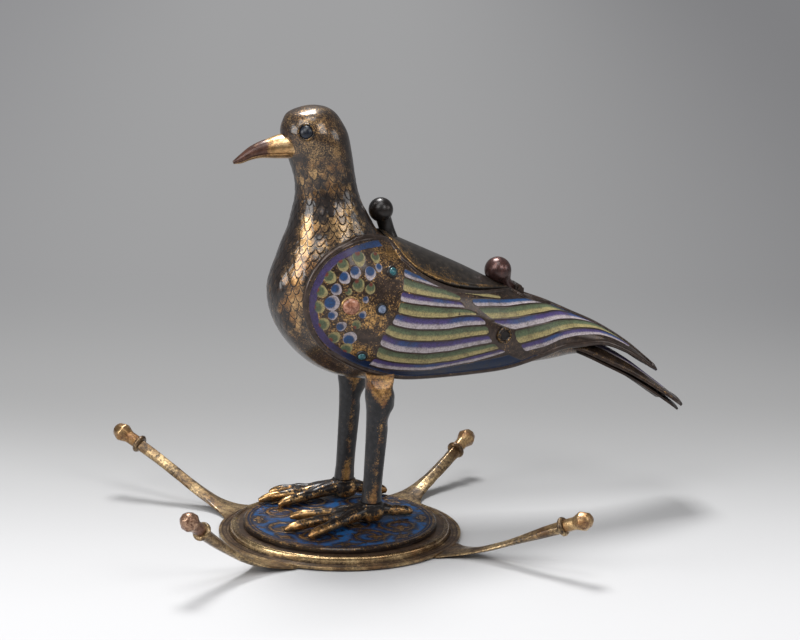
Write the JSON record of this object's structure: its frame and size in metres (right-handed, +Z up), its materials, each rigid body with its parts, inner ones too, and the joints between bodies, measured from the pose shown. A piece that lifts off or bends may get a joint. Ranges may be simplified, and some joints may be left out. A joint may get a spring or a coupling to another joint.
{
  "type": "eucharistic dove",
  "caption": "Hollow metal dove with enamelled wings and tail and a hinged lid in its back, standing on an enamelled disk in a round dish with raised arms.",
  "frame": {"origin": "centre of the dish's flat underside", "axes": "+Z up, the dove faces -X and its left side faces -Y"},
  "size_m": [0.2495, 0.1788, 0.1853],
  "materials": {
    "old_brass": "worn antique brass, satin",
    "knob_bronze": "dark patinated bronze, polished by handling",
    "blue_enamel": "opaque champleve enamel on copper, gloss, with reserved gilt scrolls",
    "gilt_copper": "worn mercury gilding on copper, satin",
    "dark_copper": "dark brown patinated copper, semi-gloss",
    "wing_enamel": "champleve enamel in blue, green, yellow, white and purple on gilt copper, gloss",
    "eye_glass": "dark blue glass cabochon, polished",
    "amber_glass": "red-brown glass cabochon, polished",
    "turquoise_glass": "turquoise glass cabochon, polished",
    "pale_blue_glass": "pale blue glass cabochon, polished",
    "dark_bronze": "dark bronze-grey sheet, polished, with worn gilding",
    "red_copper": "reddish copper, polished"
  },
  "bodies": {
    "dove": {"base_dish": "old_brass", "arm_front_left": "old_brass", "arm_front_right": "old_brass", "arm_rear_left": "old_brass", "arm_rear_right": "old_brass", "arm_collar_front_left": "old_brass", "arm_collar_front_right": "old_brass", "arm_collar_rear_left": "old_brass", "arm_collar_rear_right": "old_brass", "hinge_leaf": "old_brass", "hinge_pin": "old_brass", "arm_knob_front_left": "knob_bronze", "arm_knob_front_right": "knob_bronze", "arm_knob_rear_left": "knob_bronze", "arm_knob_rear_right": "knob_bronze", "enamel_disk": "blue_enamel", "foot_left": "gilt_copper", "foot_right": "gilt_copper", "beak": "gilt_copper", "host_cup": "gilt_copper", "leg_left": "dark_copper", "leg_right": "dark_copper", "tail_backing": "dark_copper", "body_shell_left": "dark_copper", "body_shell_right": "dark_copper", "wing_left": "wing_enamel", "wing_right": "wing_enamel", "tail_plate": "wing_enamel", "eye_left": "eye_glass", "eye_bezel_left": "gilt_copper", "empty_setting_left": "gilt_copper", "tail_rivet_left": "gilt_copper", "stone_amber_left": "amber_glass", "stone_upper_left": "turquoise_glass", "stone_lower_left": "turquoise_glass", "stone_middle_left": "pale_blue_glass", "eye_right": "eye_glass", "eye_bezel_right": "gilt_copper", "empty_setting_right": "gilt_copper", "tail_rivet_right": "gilt_copper", "stone_amber_right": "amber_glass", "stone_upper_right": "turquoise_glass", "stone_lower_right": "turquoise_glass", "stone_middle_right": "pale_blue_glass"},
    "lid": {"back_lid": "dark_bronze", "lid_front_knob": "dark_bronze", "lid_rear_knob": "red_copper"}
  },
  "joints": [
    {"name": "lid_hinge", "type": "hinge", "parent": "dove", "child": "lid", "pos_m": [0.0834, 0.012, 0.1017], "axis": [0, 1, 0], "range_deg": [0, 110]}
  ]
}
